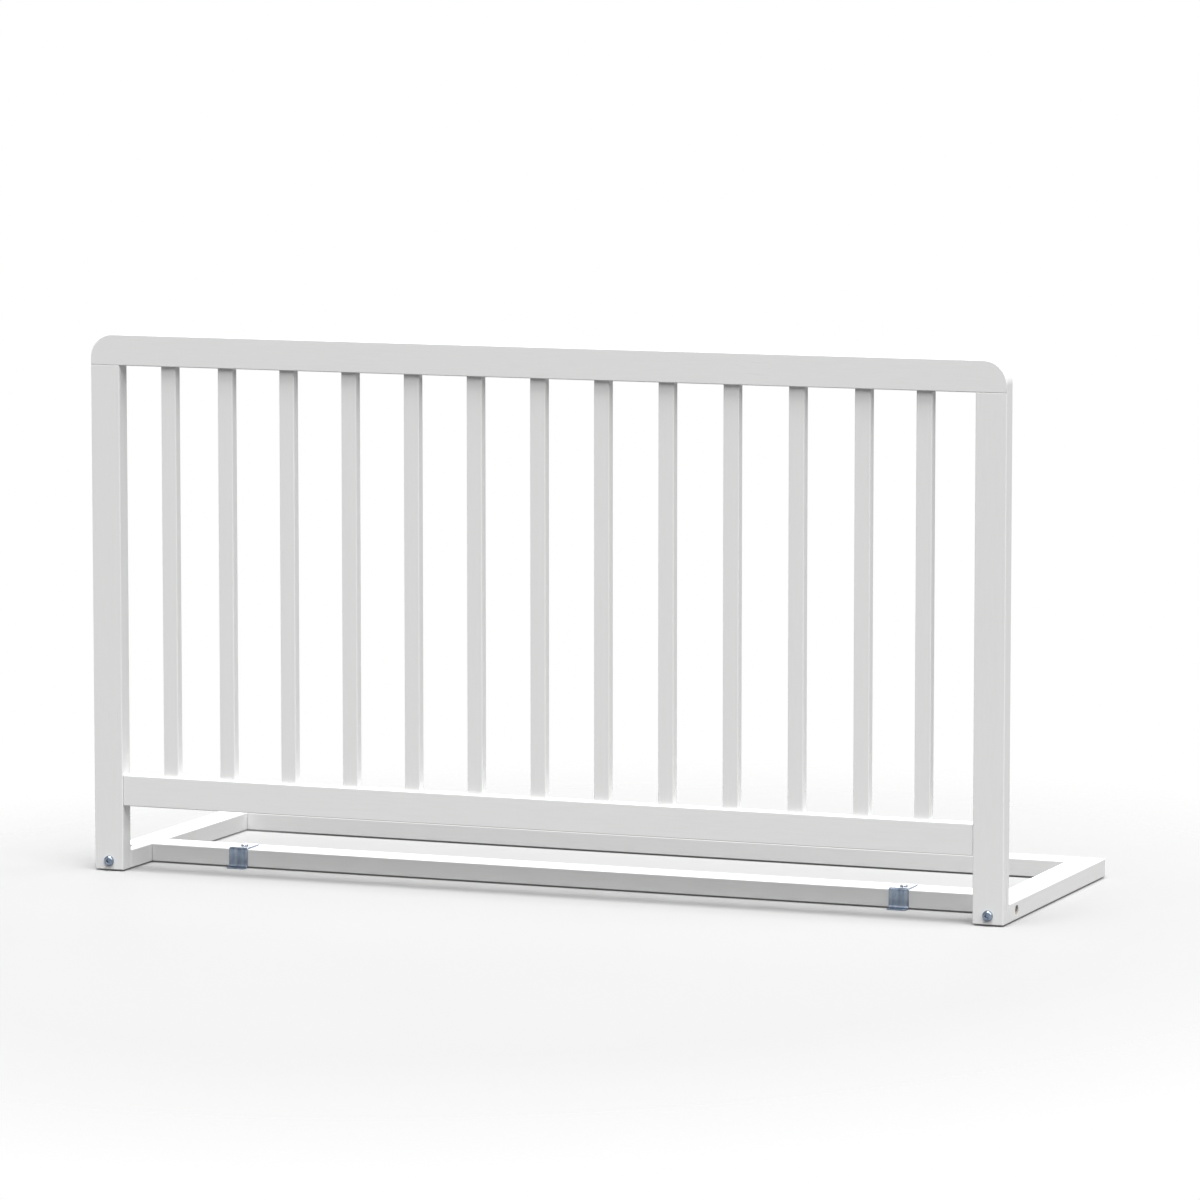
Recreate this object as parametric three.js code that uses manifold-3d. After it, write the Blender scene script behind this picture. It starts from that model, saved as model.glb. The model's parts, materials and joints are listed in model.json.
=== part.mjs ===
// Folding bed guard rail: a white slatted timber panel, hinged at its feet to a flat timber base
// that lies under the mattress. Lengths are in millimetres, X runs along the guard,
// Y runs from the front of the panel towards the bed, and Z points up.

import * as THREE from 'three';
import * as BufferGeometryUtils from 'three/addons/utils/BufferGeometryUtils.js';
import Module from 'manifold-3d';

const wasm = await Module();
wasm.setup();

// Overall sizes
const GUARD_LENGTH = 1020;
const PANEL_HEIGHT = 573.5;
const GUARD_DEPTH = 348;

// Posts
const POST_WIDTH = 33;
const POST_THICKNESS = 19;

// Top rail, laid over both posts
const TOP_RAIL_HEIGHT = 33;
const TOP_RAIL_CORNER_RADIUS = 25;

// Bottom rail, held between the posts
const BOTTOM_RAIL_HEIGHT = 33;
const BOTTOM_RAIL_THICKNESS = 17;
const BOTTOM_RAIL_CLEARANCE = 69.5;

// Slats
const SLAT_COUNT = 13;
const SLAT_WIDTH = 17;
const SLAT_THICKNESS = 11;
const SLAT_EDGE_RADIUS = 2;
const SLAT_SEAT_DEPTH = 10;
const END_GAP = 47.1;
const OUTER_SLAT_GAP = 48.9;

// Base frame
const ARM_WIDTH = 33;
const BASE_THICKNESS = 19;
const FRONT_BASE_RAIL_WIDTH = 37;
const BACK_BASE_RAIL_WIDTH = 33;
const BEDSIDE_GAP = 52;

// Rounding of the long timber edges
const TIMBER_EDGE_RADIUS = 1.5;

// Clearances
const FIT_GAP = 0.3;
const BOLT_SIDE_CLEARANCE = 0.5;
const SLOT_TIP_CLEARANCE = 2.5;
const CUT_OVERRUN = 5;

// Hinge bolts and the round nuts they turn on
const BOLT_DIAMETER = 6;
const BOLT_TIP_REACH = 5.5;
const BOLT_TIP_CHAMFER = 0.8;
const BOLT_HEAD_DIAMETER = 11;
const BOLT_HEAD_HEIGHT = 3.6;
const BOLT_HEAD_RIM = 0.9;
const BOLT_CROWN_DIAMETER = 5.4;
const BOLT_SOCKET_WIDTH = 4;
const BOLT_SOCKET_DEPTH = 2.1;
const PIVOT_SETBACK = 25.5;
const NUT_DIAMETER = 10;
const NUT_LENGTH = 20;
const NUT_CHAMFER = 0.6;
const NUT_SLOT_WIDTH = 1.4;
const NUT_SLOT_DEPTH = 1.2;

// Dowels
const DOWEL_DIAMETER = 8;
const DOWEL_LENGTH = 30;
const DOWEL_CHAMFER = 1;
const DOWEL_SPACING = 15;

// Clips on the front base rail, and their screws
const CLIP_THICKNESS = 1.5;
const CLIP_WIDTH = 21.5;
const CLIP_INSET = 136;
const CLIP_FLANGE_LENGTH = 31;
const CLIP_LIP_LENGTH = 9;
const CLIP_BEND_RADIUS = 1.2;
const CLIP_CORNER_RADIUS = 3.5;
const SCREW_DIAMETER = 4;
const SCREW_LENGTH = 14;
const SCREW_POINT_LENGTH = 3;
const SCREW_HEAD_DIAMETER = 8;
const SCREW_HEAD_HEIGHT = 1.8;
const SCREW_HEAD_RIM = 0.6;
const SCREW_CROWN_DIAMETER = 4.6;
const SCREW_RECESS_WIDTH = 1;
const SCREW_RECESS_LENGTH = 4;
const SCREW_RECESS_DEPTH = 1;

// Facet counts
const EDGE_ARC_STEPS = 3;
const CORNER_ARC_STEPS = 10;
const ROUND_STEPS = 24;
const SMALL_ROUND_STEPS = 16;
const DOME_STEPS = 5;
const HEX_SIDES = 6;

// Places worked out from the sizes
const TIMBER_UNDERSIDE = CLIP_THICKNESS;
const POST_HEIGHT = PANEL_HEIGHT - TOP_RAIL_HEIGHT;
const POST_CENTRE_X = (GUARD_LENGTH - POST_WIDTH) / 2;
const CLEAR_WIDTH = GUARD_LENGTH - 2 * POST_WIDTH;
const PANEL_MID_Y = POST_THICKNESS / 2;
const BOTTOM_RAIL_TOP = BOTTOM_RAIL_CLEARANCE + BOTTOM_RAIL_HEIGHT;
const PIVOT_Y = POST_THICKNESS + PIVOT_SETBACK;
const PIVOT_Z = BASE_THICKNESS / 2;
const BOLT_LENGTH = PIVOT_Y + BOLT_TIP_REACH;
const ARM_FRONT_Y = POST_THICKNESS + FIT_GAP;
const ARM_LENGTH = GUARD_DEPTH - ARM_FRONT_Y;
const ARM_CENTRE_X = (GUARD_LENGTH - ARM_WIDTH) / 2;
const BASE_RAIL_LENGTH = GUARD_LENGTH - 2 * ARM_WIDTH;
const FRONT_BASE_RAIL_Y = POST_THICKNESS + BEDSIDE_GAP;
const BACK_BASE_RAIL_Y = GUARD_DEPTH - BACK_BASE_RAIL_WIDTH;
const SLOT_END_Y = BOLT_LENGTH + SLOT_TIP_CLEARANCE;
const HALF_DOWEL = DOWEL_LENGTH / 2;
const SCREW_SETBACK = CLIP_FLANGE_LENGTH / 2;
const ORIGIN_Y = (GUARD_DEPTH - BOLT_HEAD_HEIGHT) / 2;

const SIDES = { left: -1, right: 1 };
const AXIS_X = new THREE.Vector3(1, 0, 0);
const AXIS_Y = new THREE.Vector3(0, 1, 0);
const AXIS_Z = new THREE.Vector3(0, 0, 1);

// Finishes
const finishes = {
  white_lacquer: { color: 0xf2f2f0, roughness: 0.35, metalness: 0 },
  zinc_plate: { color: 0xa9b4c2, roughness: 0.35, metalness: 0.9 },
  bare_beech: { color: 0xd8b88c, roughness: 0.7, metalness: 0 },
};

function makeMesh(name, geometry, finish) {
  const mesh = new THREE.Mesh(geometry, new THREE.MeshStandardMaterial(finishes[finish]));
  mesh.name = name;
  return mesh;
}

// Solids for cutting and joining, made from closed geometries.
function toSolid(geometry) {
  const bare = geometry.clone();
  bare.deleteAttribute('normal');
  bare.deleteAttribute('uv');
  const merged = BufferGeometryUtils.mergeVertices(bare);
  const vertProperties = new Float32Array(merged.attributes.position.array);
  const triVerts = new Uint32Array(merged.index.array);
  return new wasm.Manifold(new wasm.Mesh({ numProp: 3, vertProperties, triVerts }));
}

function toGeometry(solid) {
  const mesh = solid.getMesh();
  const geometry = new THREE.BufferGeometry();
  geometry.setAttribute('position', new THREE.BufferAttribute(mesh.vertProperties, mesh.numProp));
  geometry.setIndex(new THREE.BufferAttribute(mesh.triVerts, 1));
  geometry.computeVertexNormals();
  return geometry;
}

function cutAway(geometry, cutters) {
  let solid = toSolid(geometry);
  for (const cutter of cutters) {
    solid = solid.subtract(toSolid(cutter));
  }
  return toGeometry(solid);
}

// Outline of a rectangle with rounded corners, centred on the origin.
function roundedRectangle(width, height, radius) {
  const right = width / 2;
  const top = height / 2;
  const shape = new THREE.Shape();
  shape.moveTo(-right + radius, -top);
  shape.lineTo(right - radius, -top);
  shape.absarc(right - radius, -top + radius, radius, -Math.PI / 2, 0, false);
  shape.lineTo(right, top - radius);
  shape.absarc(right - radius, top - radius, radius, 0, Math.PI / 2, false);
  shape.lineTo(-right + radius, top);
  shape.absarc(-right + radius, top - radius, radius, Math.PI / 2, Math.PI, false);
  shape.lineTo(-right, -top + radius);
  shape.absarc(-right + radius, -top + radius, radius, Math.PI, 1.5 * Math.PI, false);
  return shape;
}

function extrude(shape, depth, curveSegments = EDGE_ARC_STEPS) {
  return new THREE.ExtrudeGeometry(shape, { depth, curveSegments, bevelEnabled: false });
}

// Bars of rounded timber. Each starts at its own origin and runs along the named axis.
function barAlongX(length, depth, height, radius) {
  const geometry = extrude(roundedRectangle(depth, height, radius), length);
  return geometry.applyMatrix4(new THREE.Matrix4().makeBasis(AXIS_Y, AXIS_Z, AXIS_X));
}

function barAlongY(length, width, height, radius) {
  const geometry = extrude(roundedRectangle(height, width, radius), length);
  return geometry.applyMatrix4(new THREE.Matrix4().makeBasis(AXIS_Z, AXIS_X, AXIS_Y));
}

function barAlongZ(length, width, depth, radius) {
  return extrude(roundedRectangle(width, depth, radius), length);
}

// A round cutter or pin, centred on its own middle.
function cylinder(diameter, length, axis, steps = ROUND_STEPS) {
  const geometry = new THREE.CylinderGeometry(diameter / 2, diameter / 2, length, steps);
  if (axis === AXIS_X) {
    geometry.rotateZ(-Math.PI / 2);
  }
  if (axis === AXIS_Z) {
    geometry.rotateX(Math.PI / 2);
  }
  return geometry;
}

// A turned solid about the Y axis, from profile points of radius and height.
function turned(points, steps = ROUND_STEPS) {
  const profile = points.map(([radius, height]) => new THREE.Vector2(radius, height));
  return new THREE.LatheGeometry(profile, steps);
}

// The two places of a dowel pair, either side of the middle of a joint.
function dowelPair() {
  return [-DOWEL_SPACING / 2, DOWEL_SPACING / 2];
}

function dowelHole(axis) {
  return cylinder(DOWEL_DIAMETER + 2 * FIT_GAP, DOWEL_LENGTH + 2 * FIT_GAP, axis, SMALL_ROUND_STEPS);
}

function dowelGeometry() {
  const radius = DOWEL_DIAMETER / 2;
  return turned([
    [0, -HALF_DOWEL],
    [radius - DOWEL_CHAMFER, -HALF_DOWEL],
    [radius, -HALF_DOWEL + DOWEL_CHAMFER],
    [radius, HALF_DOWEL - DOWEL_CHAMFER],
    [radius - DOWEL_CHAMFER, HALF_DOWEL],
    [0, HALF_DOWEL],
  ], SMALL_ROUND_STEPS);
}

// Slat centres along X: a wider middle run between two narrower outer gaps.
function slatCentres() {
  const first = -CLEAR_WIDTH / 2 + END_GAP + SLAT_WIDTH / 2;
  const second = first + SLAT_WIDTH + OUTER_SLAT_GAP;
  const innerCount = SLAT_COUNT - 2;
  const pitch = (-2 * second) / (innerCount - 1);
  const inner = Array.from({ length: innerCount }, (_, i) => second + i * pitch);
  return [first, ...inner, -first];
}

function slatMortise() {
  const width = SLAT_WIDTH + 2 * FIT_GAP;
  const depth = SLAT_THICKNESS + 2 * FIT_GAP;
  return barAlongZ(SLAT_SEAT_DEPTH + CUT_OVERRUN, width, depth, SLAT_EDGE_RADIUS + FIT_GAP);
}

// Posts stand on their own origin, with the inner face towards the middle of the guard.
function postGeometry(side) {
  const bar = barAlongZ(POST_HEIGHT, POST_WIDTH, POST_THICKNESS, TIMBER_EDGE_RADIUS);
  const boltHole = cylinder(BOLT_DIAMETER + 2 * BOLT_SIDE_CLEARANCE, POST_THICKNESS + CUT_OVERRUN, AXIS_Y);
  boltHole.translate(0, 0, PIVOT_Z);
  const topHoles = dowelPair().map((x) => dowelHole(AXIS_Z).translate(x, 0, POST_HEIGHT));
  const railMiddle = BOTTOM_RAIL_CLEARANCE + BOTTOM_RAIL_HEIGHT / 2;
  const innerFace = -side * POST_WIDTH / 2;
  const railHoles = dowelPair().map((z) => dowelHole(AXIS_X).translate(innerFace, 0, railMiddle + z));
  return cutAway(bar, [boltHole, ...topHoles, ...railHoles]);
}

// The top rail's outline is drawn in X and Z, with its underside on the origin.
function topRailGeometry() {
  const inset = TIMBER_EDGE_RADIUS;
  const half = GUARD_LENGTH / 2 - inset;
  const low = inset;
  const high = TOP_RAIL_HEIGHT - inset;
  const radius = Math.min(TOP_RAIL_CORNER_RADIUS - inset, high - low);
  const outline = new THREE.Shape();
  outline.moveTo(-half, low);
  outline.lineTo(half, low);
  outline.lineTo(half, high - radius);
  outline.absarc(half - radius, high - radius, radius, 0, Math.PI / 2, false);
  outline.lineTo(-half + radius, high);
  outline.absarc(-half + radius, high - radius, radius, Math.PI / 2, Math.PI, false);
  const bar = new THREE.ExtrudeGeometry(outline, {
    depth: POST_THICKNESS - 2 * inset,
    curveSegments: CORNER_ARC_STEPS,
    bevelThickness: inset,
    bevelSize: inset,
    bevelSegments: EDGE_ARC_STEPS,
  });
  bar.translate(0, 0, -POST_THICKNESS / 2 + inset);
  bar.rotateX(Math.PI / 2);
  const mortises = slatCentres().map((x) => slatMortise().translate(x, 0, -CUT_OVERRUN));
  const holes = Object.values(SIDES).flatMap((side) => dowelPair().map(
    (x) => dowelHole(AXIS_Z).translate(side * POST_CENTRE_X + x, 0, 0)));
  return cutAway(bar, [...mortises, ...holes]);
}

// The bottom rail lies along X from its own middle, with its underside on the origin.
function bottomRailGeometry() {
  const bar = barAlongX(CLEAR_WIDTH, BOTTOM_RAIL_THICKNESS, BOTTOM_RAIL_HEIGHT, TIMBER_EDGE_RADIUS);
  bar.translate(-CLEAR_WIDTH / 2, 0, BOTTOM_RAIL_HEIGHT / 2);
  const seat = BOTTOM_RAIL_HEIGHT - SLAT_SEAT_DEPTH;
  const mortises = slatCentres().map((x) => slatMortise().translate(x, 0, seat));
  const holes = Object.values(SIDES).flatMap((side) => dowelPair().map(
    (z) => dowelHole(AXIS_X).translate(side * CLEAR_WIDTH / 2, 0, BOTTOM_RAIL_HEIGHT / 2 + z)));
  return cutAway(bar, [...mortises, ...holes]);
}

function slatGeometry() {
  const length = POST_HEIGHT - BOTTOM_RAIL_TOP + 2 * SLAT_SEAT_DEPTH - FIT_GAP;
  return barAlongZ(length, SLAT_WIDTH, SLAT_THICKNESS, SLAT_EDGE_RADIUS);
}

// The upper front corner of an arm is dressed back to an arc about the hinge nut, so that the
// back of the post clears it as the panel folds. Drawn in Y and Z about the nut.
function swingRelief() {
  const reach = PIVOT_SETBACK - FIT_GAP;
  const top = BASE_THICKNESS - PIVOT_Z;
  const topAngle = Math.PI - Math.asin(top / reach);
  const shape = new THREE.Shape();
  shape.moveTo(-reach - CUT_OVERRUN, 0);
  shape.lineTo(-reach, 0);
  shape.absarc(0, 0, reach, Math.PI, topAngle, true);
  shape.lineTo(reach * Math.cos(topAngle), top + CUT_OVERRUN);
  shape.lineTo(-reach - CUT_OVERRUN, top + CUT_OVERRUN);
  const width = ARM_WIDTH + 2 * CUT_OVERRUN;
  const cutter = extrude(shape, width, EDGE_ARC_STEPS);
  cutter.applyMatrix4(new THREE.Matrix4().makeBasis(AXIS_Y, AXIS_Z, AXIS_X));
  return cutter.translate(-width / 2, PIVOT_Y, PIVOT_Z);
}

// The slot that lets the bolt swing up out of the arm, open at the front and through the thickness.
function boltSlot() {
  const width = BOLT_DIAMETER + 2 * BOLT_SIDE_CLEARANCE;
  const start = ARM_FRONT_Y - CUT_OVERRUN;
  const shape = new THREE.Shape();
  shape.moveTo(-width / 2, start);
  shape.lineTo(width / 2, start);
  shape.lineTo(width / 2, SLOT_END_Y - width / 2);
  shape.absarc(0, SLOT_END_Y - width / 2, width / 2, 0, Math.PI, false);
  const depth = BASE_THICKNESS + 2 * CUT_OVERRUN;
  return extrude(shape, depth).translate(0, 0, -CUT_OVERRUN);
}

// Arms run along Y from the posts to the rear, centred on X, with the underside on the origin.
function armGeometry(side) {
  const bar = barAlongY(ARM_LENGTH, ARM_WIDTH, BASE_THICKNESS, TIMBER_EDGE_RADIUS);
  bar.translate(0, ARM_FRONT_Y, BASE_THICKNESS / 2);
  const boltX = side * (POST_CENTRE_X - ARM_CENTRE_X);
  const outerFace = side * ARM_WIDTH / 2;
  const innerFace = -outerFace;
  const boreEnd = boltX - side * (NUT_LENGTH / 2 + FIT_GAP);
  const boreLength = Math.abs(outerFace - boreEnd) + CUT_OVERRUN;
  const bore = cylinder(NUT_DIAMETER + 2 * FIT_GAP, boreLength, AXIS_X);
  bore.translate(boreEnd + side * boreLength / 2, PIVOT_Y, PIVOT_Z);
  const railMiddles = [
    FRONT_BASE_RAIL_Y + FRONT_BASE_RAIL_WIDTH / 2,
    BACK_BASE_RAIL_Y + BACK_BASE_RAIL_WIDTH / 2,
  ];
  const holes = railMiddles.flatMap((middle) => dowelPair().map(
    (y) => dowelHole(AXIS_X).translate(innerFace, middle + y, BASE_THICKNESS / 2)));
  return cutAway(bar, [boltSlot().translate(boltX, 0, 0), swingRelief(), bore, ...holes]);
}

// Base rails lie along X from their own middle, with the underside on the origin.
function baseRailGeometry(width, pilotHoles) {
  const bar = barAlongX(BASE_RAIL_LENGTH, width, BASE_THICKNESS, TIMBER_EDGE_RADIUS);
  bar.translate(-BASE_RAIL_LENGTH / 2, 0, BASE_THICKNESS / 2);
  const holes = Object.values(SIDES).flatMap((side) => dowelPair().map(
    (y) => dowelHole(AXIS_X).translate(side * BASE_RAIL_LENGTH / 2, y, BASE_THICKNESS / 2)));
  return cutAway(bar, [...holes, ...pilotHoles]);
}

function screwPilotHole(x, y) {
  const depth = SCREW_LENGTH - CLIP_THICKNESS + FIT_GAP;
  const hole = cylinder(SCREW_DIAMETER + 2 * FIT_GAP, depth + CUT_OVERRUN, AXIS_Z);
  return hole.translate(x, y, BASE_THICKNESS - depth + (depth + CUT_OVERRUN) / 2);
}

// Profile of a domed head, from its seat up over the rim to a flat crown.
function headProfile(diameter, height, rim, crown) {
  const fall = (diameter - crown) / 2;
  const dome = Array.from({ length: DOME_STEPS }, (_, i) => {
    const angle = ((i + 1) / DOME_STEPS) * (Math.PI / 2);
    return [crown / 2 + fall * Math.cos(angle), rim + (height - rim) * Math.sin(angle)];
  });
  return [[diameter / 2, 0], [diameter / 2, rim], ...dome, [0, height]];
}

// Low domed head with a hexagon socket, on a plain shank. The head points along +Y.
function boltGeometry() {
  const radius = BOLT_DIAMETER / 2;
  const head = headProfile(BOLT_HEAD_DIAMETER, BOLT_HEAD_HEIGHT, BOLT_HEAD_RIM, BOLT_CROWN_DIAMETER);
  const body = turned([
    [0, -BOLT_LENGTH],
    [radius - BOLT_TIP_CHAMFER, -BOLT_LENGTH],
    [radius, -BOLT_LENGTH + BOLT_TIP_CHAMFER],
    [radius, 0],
    ...head,
  ]);
  const socketRadius = BOLT_SOCKET_WIDTH / 2 / Math.cos(Math.PI / HEX_SIDES);
  const socketLength = BOLT_SOCKET_DEPTH + CUT_OVERRUN;
  const socket = new THREE.CylinderGeometry(socketRadius, socketRadius, socketLength, HEX_SIDES);
  socket.translate(0, BOLT_HEAD_HEIGHT - BOLT_SOCKET_DEPTH + socketLength / 2, 0);
  return cutAway(body, [socket]);
}

// A round nut lying along X, cross-drilled for the bolt, with a screwdriver slot in its outer end.
function nutGeometry(side) {
  const radius = NUT_DIAMETER / 2;
  const half = NUT_LENGTH / 2;
  const body = turned([
    [0, -half],
    [radius - NUT_CHAMFER, -half],
    [radius, -half + NUT_CHAMFER],
    [radius, half - NUT_CHAMFER],
    [radius - NUT_CHAMFER, half],
    [0, half],
  ]);
  body.rotateZ(-Math.PI / 2);
  const hole = cylinder(BOLT_DIAMETER + 2 * FIT_GAP, NUT_DIAMETER + CUT_OVERRUN, AXIS_Y);
  const slotReach = NUT_SLOT_DEPTH + CUT_OVERRUN;
  const slot = new THREE.BoxGeometry(slotReach, NUT_DIAMETER + CUT_OVERRUN, NUT_SLOT_WIDTH);
  slot.translate(side * (half - NUT_SLOT_DEPTH + slotReach / 2), 0, 0);
  return cutAway(body, [hole, slot]);
}

// The clip's side view in Y and Z, about the rail's top front edge: a flange over the rail, a web
// down its front, and a lip turned forward just below it.
function clipProfile() {
  const inner = CLIP_BEND_RADIUS;
  const outer = CLIP_BEND_RADIUS + CLIP_THICKNESS;
  const top = CLIP_THICKNESS;
  const lipTop = -BASE_THICKNESS;
  const lipUnder = lipTop - CLIP_THICKNESS;
  const webFront = -CLIP_THICKNESS;
  const lipFront = webFront - CLIP_LIP_LENGTH;
  const shape = new THREE.Shape();
  shape.moveTo(CLIP_FLANGE_LENGTH, 0);
  shape.lineTo(CLIP_FLANGE_LENGTH, top);
  shape.lineTo(webFront + outer, top);
  shape.absarc(webFront + outer, top - outer, outer, Math.PI / 2, Math.PI, false);
  shape.lineTo(webFront, lipTop + inner);
  shape.absarc(webFront - inner, lipTop + inner, inner, 0, -Math.PI / 2, true);
  shape.lineTo(lipFront, lipTop);
  shape.lineTo(lipFront, lipUnder);
  shape.lineTo(-outer, lipUnder);
  shape.absarc(-outer, lipUnder + outer, outer, -Math.PI / 2, 0, false);
  shape.lineTo(0, -inner);
  shape.absarc(inner, -inner, inner, Math.PI, Math.PI / 2, true);
  return shape;
}

function clipGeometry() {
  const strip = extrude(clipProfile(), CLIP_WIDTH);
  strip.applyMatrix4(new THREE.Matrix4().makeBasis(AXIS_Y, AXIS_Z, AXIS_X));
  strip.translate(-CLIP_WIDTH / 2, 0, 0);
  const front = -CLIP_THICKNESS - CLIP_LIP_LENGTH;
  const length = CLIP_FLANGE_LENGTH - front;
  const height = BASE_THICKNESS + 2 * (CLIP_THICKNESS + CUT_OVERRUN);
  const plan = barAlongZ(height, CLIP_WIDTH, length, CLIP_CORNER_RADIUS);
  plan.translate(0, front + length / 2, -BASE_THICKNESS - CLIP_THICKNESS - CUT_OVERRUN);
  const hole = cylinder(SCREW_DIAMETER + 2 * FIT_GAP, CLIP_THICKNESS + 2 * CUT_OVERRUN, AXIS_Z);
  hole.translate(0, SCREW_SETBACK, 0);
  return toGeometry(toSolid(strip).intersect(toSolid(plan)).subtract(toSolid(hole)));
}

// Round-headed wood screw with a cross recess. The head points along +Y.
function screwGeometry() {
  const radius = SCREW_DIAMETER / 2;
  const head = headProfile(SCREW_HEAD_DIAMETER, SCREW_HEAD_HEIGHT, SCREW_HEAD_RIM, SCREW_CROWN_DIAMETER);
  const body = turned([
    [0, -SCREW_LENGTH],
    [radius, -SCREW_LENGTH + SCREW_POINT_LENGTH],
    [radius, 0],
    ...head,
  ], SMALL_ROUND_STEPS);
  const recessHeight = SCREW_RECESS_DEPTH + CUT_OVERRUN;
  const recessMiddle = SCREW_HEAD_HEIGHT - SCREW_RECESS_DEPTH + recessHeight / 2;
  const slots = [
    new THREE.BoxGeometry(SCREW_RECESS_LENGTH, recessHeight, SCREW_RECESS_WIDTH),
    new THREE.BoxGeometry(SCREW_RECESS_WIDTH, recessHeight, SCREW_RECESS_LENGTH),
  ];
  return cutAway(body, slots.map((slot) => slot.translate(0, recessMiddle, 0)));
}

function addDowels(group, name, places, axis) {
  places.forEach(([x, y, z], i) => {
    const dowel = makeMesh(`${name}_${i + 1}`, dowelGeometry(), 'bare_beech');
    if (axis === AXIS_X) {
      dowel.rotation.z = -Math.PI / 2;
    }
    if (axis === AXIS_Z) {
      dowel.rotation.x = Math.PI / 2;
    }
    dowel.position.set(x, y, z);
    group.add(dowel);
  });
}

function makePanel() {
  const panel = new THREE.Group();
  for (const [name, side] of Object.entries(SIDES)) {
    const post = makeMesh(`${name}_post`, postGeometry(side), 'white_lacquer');
    post.position.set(side * POST_CENTRE_X, PANEL_MID_Y, 0);
    panel.add(post);

    const bolt = makeMesh(`${name}_hinge_bolt`, boltGeometry(), 'zinc_plate');
    bolt.rotation.x = Math.PI;
    bolt.position.set(side * POST_CENTRE_X, 0, PIVOT_Z);
    panel.add(bolt);

    const nut = makeMesh(`${name}_barrel_nut`, nutGeometry(side), 'zinc_plate');
    nut.position.set(side * POST_CENTRE_X, PIVOT_Y, PIVOT_Z);
    panel.add(nut);

    const topPlaces = dowelPair().map((x) => [side * POST_CENTRE_X + x, PANEL_MID_Y, POST_HEIGHT]);
    addDowels(panel, `${name}_top_dowel`, topPlaces, AXIS_Z);
    const railMiddle = BOTTOM_RAIL_CLEARANCE + BOTTOM_RAIL_HEIGHT / 2;
    const railPlaces = dowelPair().map((z) => [side * CLEAR_WIDTH / 2, PANEL_MID_Y, railMiddle + z]);
    addDowels(panel, `${name}_bottom_dowel`, railPlaces, AXIS_X);
  }

  const topRail = makeMesh('top_rail', topRailGeometry(), 'white_lacquer');
  topRail.position.set(0, PANEL_MID_Y, POST_HEIGHT);
  panel.add(topRail);

  const bottomRail = makeMesh('bottom_rail', bottomRailGeometry(), 'white_lacquer');
  bottomRail.position.set(0, PANEL_MID_Y, BOTTOM_RAIL_CLEARANCE);
  panel.add(bottomRail);

  slatCentres().forEach((x, i) => {
    const number = String(i + 1).padStart(2, '0');
    const slat = makeMesh(`slat_${number}`, slatGeometry(), 'white_lacquer');
    slat.position.set(x, PANEL_MID_Y, BOTTOM_RAIL_TOP - SLAT_SEAT_DEPTH);
    panel.add(slat);
  });
  return panel;
}

function makeBase() {
  const base = new THREE.Group();
  const frontMiddle = FRONT_BASE_RAIL_Y + FRONT_BASE_RAIL_WIDTH / 2;
  const backMiddle = BACK_BASE_RAIL_Y + BACK_BASE_RAIL_WIDTH / 2;
  for (const [name, side] of Object.entries(SIDES)) {
    const arm = makeMesh(`${name}_arm`, armGeometry(side), 'white_lacquer');
    arm.position.set(side * ARM_CENTRE_X, 0, 0);
    base.add(arm);

    for (const [railName, middle] of [['front', frontMiddle], ['back', backMiddle]]) {
      const places = dowelPair().map((y) => [side * BASE_RAIL_LENGTH / 2, middle + y, BASE_THICKNESS / 2]);
      addDowels(base, `${name}_${railName}_dowel`, places, AXIS_X);
    }

    const clipX = side * (GUARD_LENGTH / 2 - CLIP_INSET);
    const clip = makeMesh(`${name}_clip`, clipGeometry(), 'zinc_plate');
    clip.position.set(clipX, FRONT_BASE_RAIL_Y, BASE_THICKNESS);
    base.add(clip);

    const screw = makeMesh(`${name}_clip_screw`, screwGeometry(), 'zinc_plate');
    screw.rotation.x = Math.PI / 2;
    screw.position.set(clipX, FRONT_BASE_RAIL_Y + SCREW_SETBACK, BASE_THICKNESS + CLIP_THICKNESS);
    base.add(screw);
  }

  const pilotHoles = Object.values(SIDES).map((side) => screwPilotHole(
    side * (GUARD_LENGTH / 2 - CLIP_INSET), SCREW_SETBACK - FRONT_BASE_RAIL_WIDTH / 2));
  const frontGeometry = baseRailGeometry(FRONT_BASE_RAIL_WIDTH, pilotHoles);
  const frontRail = makeMesh('front_base_rail', frontGeometry, 'white_lacquer');
  frontRail.position.set(0, frontMiddle, 0);
  base.add(frontRail);

  const backGeometry = baseRailGeometry(BACK_BASE_RAIL_WIDTH, []);
  const backRail = makeMesh('back_base_rail', backGeometry, 'white_lacquer');
  backRail.position.set(0, backMiddle, 0);
  base.add(backRail);
  return base;
}

// The origin is the middle of the guard's footprint, on the surface that its clips touch.
const guard = new THREE.Group();
guard.add(makePanel());
guard.add(makeBase());
guard.position.set(0, -ORIGIN_Y, TIMBER_UNDERSIDE);

export default guard;
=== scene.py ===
"""Folding bed guard rail: the finished look of the white slatted guard, round its fixed frame.

Every length is in metres in the frame's own axes: X along the guard, Y from the panel towards the
bed, Z up. Each operator makes one piece or one group of like pieces from the boxes of the frame's
nodes and from the sizes in the property groups. The last one makes the floor, lights and camera.
"""

import json
import math

import bpy
import numpy as np
from mathutils import Matrix, Vector


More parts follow.
